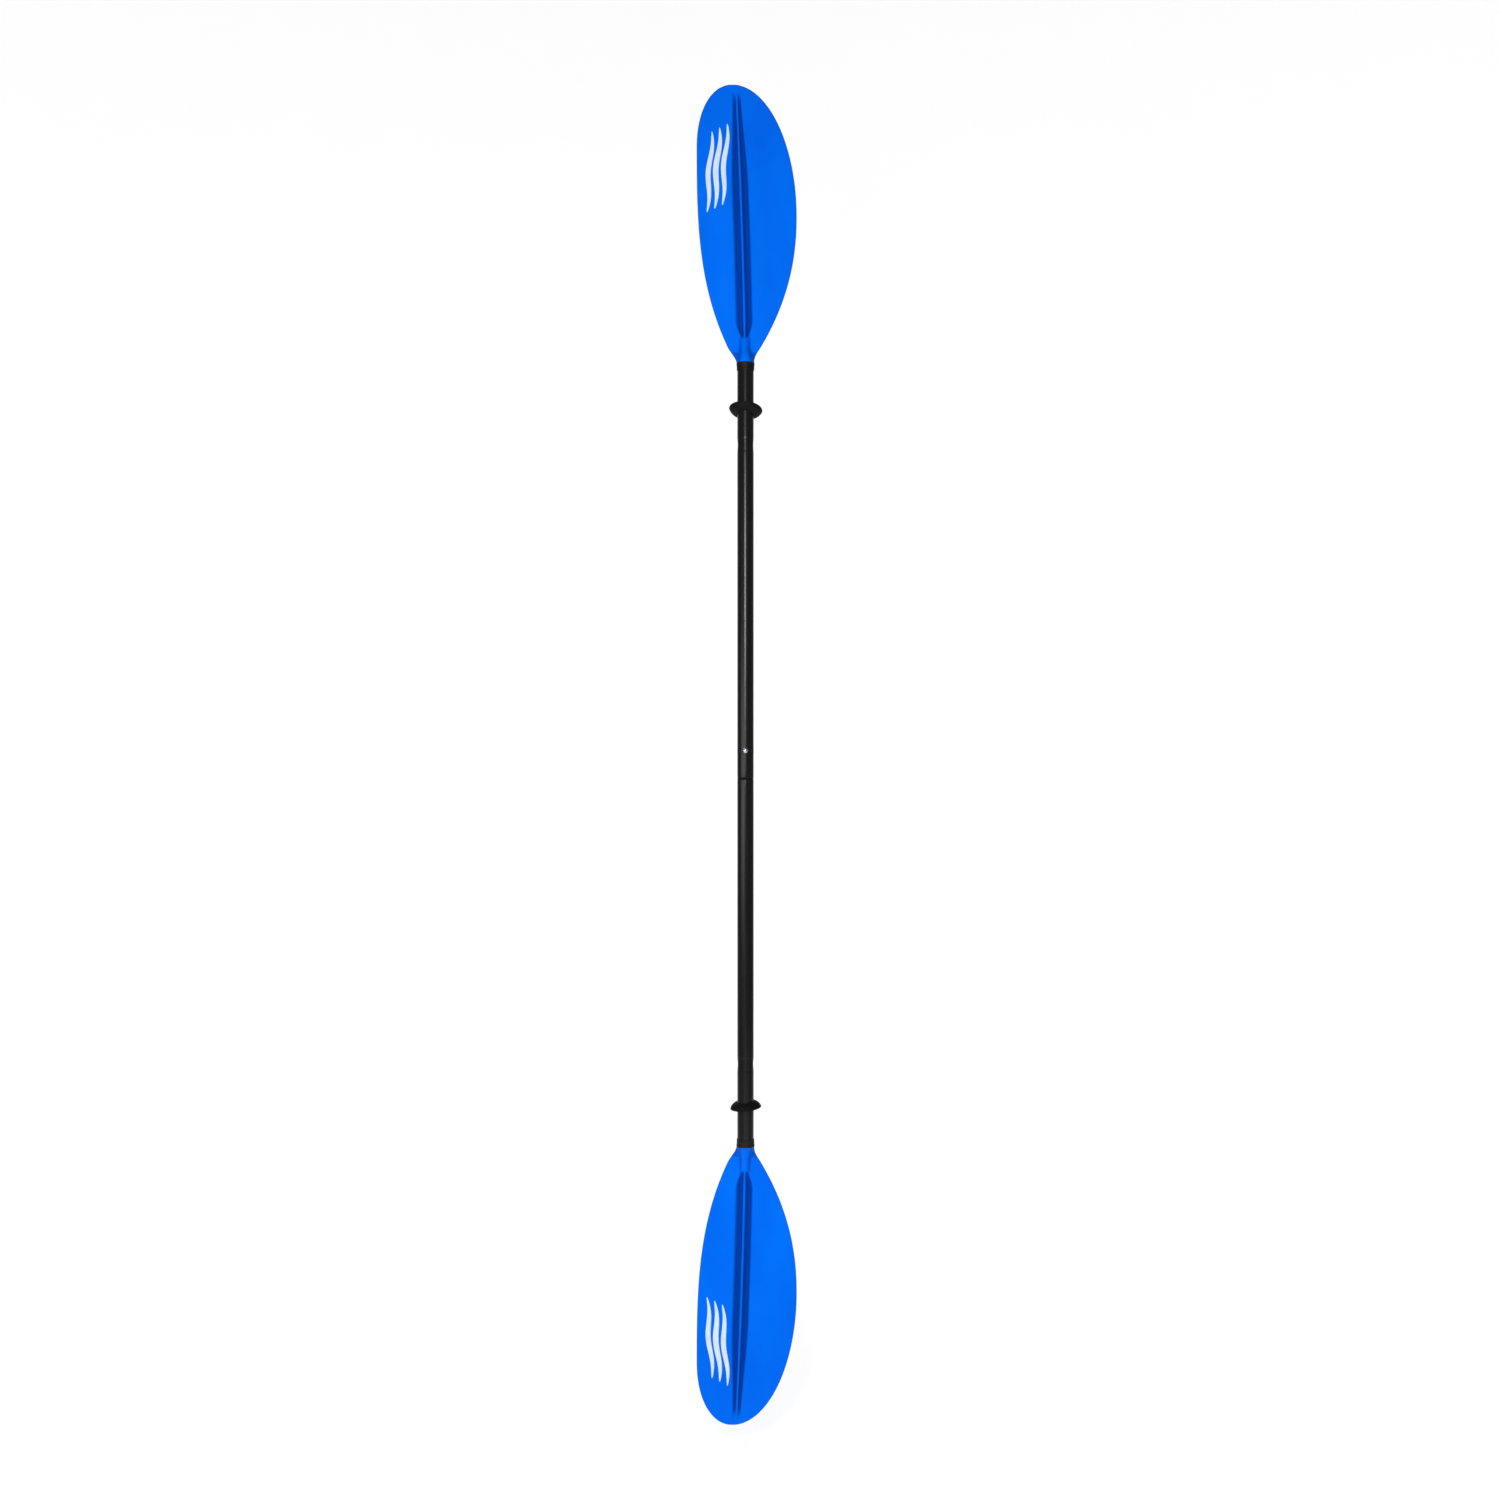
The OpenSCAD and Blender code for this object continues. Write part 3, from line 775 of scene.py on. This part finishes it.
# ---------------------------------------------------------------- the pieces in place
upper_place = at_height(UPPER_NECK)
lower_place = at_height(LOWER_NECK) @ MIRROR_Z
blade_set("upper", "upper_half", upper_place)
blade_set("lower", "lower_half", lower_place)

upper_tube = move(tube("upper_tube_skin", UPPER_LEN), at_height(UPPER_END))
for turn_by in (-FEATHER, 0, FEATHER):
    cut(upper_tube, hole_cutter(HOLE_R, turn_by, BUTTON_Z))
shade(upper_tube, 35)
piece(upper_tube, "upper_half", ["upper_tube"])
lower_tube = move(tube("lower_tube_skin", LOWER_LEN), at_height(LIP_R) @ MIRROR_Z)
piece(lower_tube, "lower_half", ["lower_tube"])

piece(move(collar("upper_collar_skin", COLLAR_UP_PAINTED_DARK), upper_place),
      "upper_half", ["upper_collar"])
piece(move(collar("lower_collar_skin", COLLAR_LO_PAINTED_LIGHT), lower_place),
      "lower_half", ["lower_collar"])

upper_ring = drip_ring("upper_drip_ring_skin", UPPER_RING_R, UPPER_LEAN, RING_ROLL)
piece(move(upper_ring, at_height(UPPER_NECK - UPPER_RING_FROM_NECK)),
      "upper_ring", ["upper_drip_ring"])
lower_ring = drip_ring("lower_drip_ring_skin", LOWER_RING_R, LOWER_LEAN, RING_ROLL)
piece(move(lower_ring, at_height(LOWER_NECK + LOWER_RING_FROM_NECK) @ MIRROR_Z),
      "lower_ring", ["lower_drip_ring"])

piece(joint_ring("joint_ring_skin"), "seam_ring", ["joint_ring"])
piece(ferrule("ferrule_skin"), "lower_half", ["ferrule"])
piece(snap_button("snap_button_skin"), "button", ["snap_button"])
spring = button_spring("button_spring_skin")
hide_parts("button_spring")
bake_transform(spring)

for node, material in (("upper_tang_seal", SEAL), ("lower_tang_seal", SEAL),
                       ("upper_foam_plug", FOAM), ("lower_foam_plug", FOAM)):
    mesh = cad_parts[node].data
    mesh.materials.clear()
    mesh.materials.append(material)


# ---------------------------------------------------------------- floor and backdrop
def stage_bowl():
    """A pale round floor that sweeps up into a wall all the way round"""
    floor_z, radius, cove, wall = -1.13, 4.6, 1.2, 5.0
    profile = [(0.001, floor_z)] + [(radius * k / 12, floor_z) for k in range(1, 13)]
    profile += [
        (radius + cove * math.sin(a), floor_z + cove * (1 - math.cos(a)))
        for a in np.linspace(0, math.pi / 2, 13)[1:]
    ]
    profile += [(radius + cove, floor_z + cove + wall * k / 4) for k in range(1, 5)]
    steps = 96
    a = np.arange(steps) * 2 * math.pi / steps
    rings = [np.stack([r * np.cos(a), r * np.sin(a), np.full(steps, z)], axis=1) / MM
             for r, z in profile]
    points, faces = skin(rings, closed_ends=False)
    faces = [f[::-1] for f in faces]
    mesh_object("studio", points, faces, studio_paint(), smooth_angle=60)


# The glow fills what stands behind the object and is faint at the sides and in front of it
BACK_GLOW, SIDE_GLOW = 0.82, 0.05


def studio_paint():
    n = Nodes("studio_paint")
    colour = n.blend(n.noise(3, detail=2), (0.44, 0.44, 0.442), (0.47, 0.47, 0.47))
    split = n.add("ShaderNodeSeparateXYZ")
    n.link(n.place, split.inputs["Vector"])
    aside = n.add("ShaderNodeMath", operation="ABSOLUTE")
    n.link(split.outputs["X"], aside.inputs[0])
    inward = n.add("ShaderNodeMath", operation="MULTIPLY_ADD")
    n.link(split.outputs["Y"], inward.inputs[0])
    inward.inputs[1].default_value, inward.inputs[2].default_value = 0.5, 1.9
    room = n.sum(inward.outputs[0], aside.outputs[0], -1.0)
    glow = n.spread(room, SIDE_GLOW, BACK_GLOW, -0.9, 0.5)
    n.shader.inputs["Emission Color"].default_value = (1, 1, 1, 1)
    n.link(glow, n.shader.inputs["Emission Strength"])
    return n.finish(colour, n.spread(n.noise(20), 0.85, 0.95), Specular_IOR_Level=0.1)


stage_bowl()


# ---------------------------------------------------------------- light
def softbox(name, place, aim, size, radiance, grid=None):
    """An area light at place, turned to aim. radiance is its brightness seen face on, and grid
    is the angle that a grid over it lets the light fan out in."""
    data = bpy.data.lights.new(name, "AREA")
    data.shape, data.size, data.size_y = "RECTANGLE", size[0], size[1]
    data.energy = radiance * math.pi * size[0] * size[1]
    if grid:
        half = math.radians(grid) / 2
        data.spread = 2 * half
        data.energy *= 1 - half / math.tan(half)
    obj = bpy.data.objects.new(name, data)
    bpy.context.scene.collection.objects.link(obj)
    obj.location = place
    obj.rotation_euler = (Vector(aim) - Vector(place)).to_track_quat("-Z", "Y").to_euler()
    obj.visible_camera = False


softbox("key", (-0.17, -2.05, 0.52), (0, 0, 0.33), (0.22, 0.5), 66)
softbox("broad", (-0.95, -1.8, -0.05), (0, 0, 0), (1.1, 0.55), 4.8, grid=100)
softbox("side", (-2.0, -1.5, 0.0), (0, 0, 0), (1.0, 0.6), 3.4, grid=100)
softbox("top", (0.2, -1.9, 1.9), (0, 0, 0.8), (1.8, 0.8), 0.6)
softbox("low", (0.2, -1.3, -0.98), (0, 0, -0.75), (1.8, 0.4), 0.5)

world = bpy.data.worlds.new("studio_air")
world.use_nodes = True
air = next(n for n in world.node_tree.nodes if n.type == "BACKGROUND")
air.inputs["Color"].default_value = (1, 1, 1, 1)
air.inputs["Strength"].default_value = 0.12
bpy.context.scene.world = world
bpy.context.scene.view_settings.view_transform = "Standard"

# ---------------------------------------------------------------- camera
CAMERA_DISTANCE = 3.0
camera_data = bpy.data.cameras.new("camera")
camera_data.lens = 42.33
camera_data.sensor_width = 36
camera_data.clip_start, camera_data.clip_end = 0.05, 60
camera = bpy.data.objects.new("camera", camera_data)
bpy.context.scene.collection.objects.link(camera)
camera.location = (0.00765, -CAMERA_DISTANCE, 0.051)
camera.rotation_euler = (math.radians(90), 0, 0)
bpy.context.scene.camera = camera
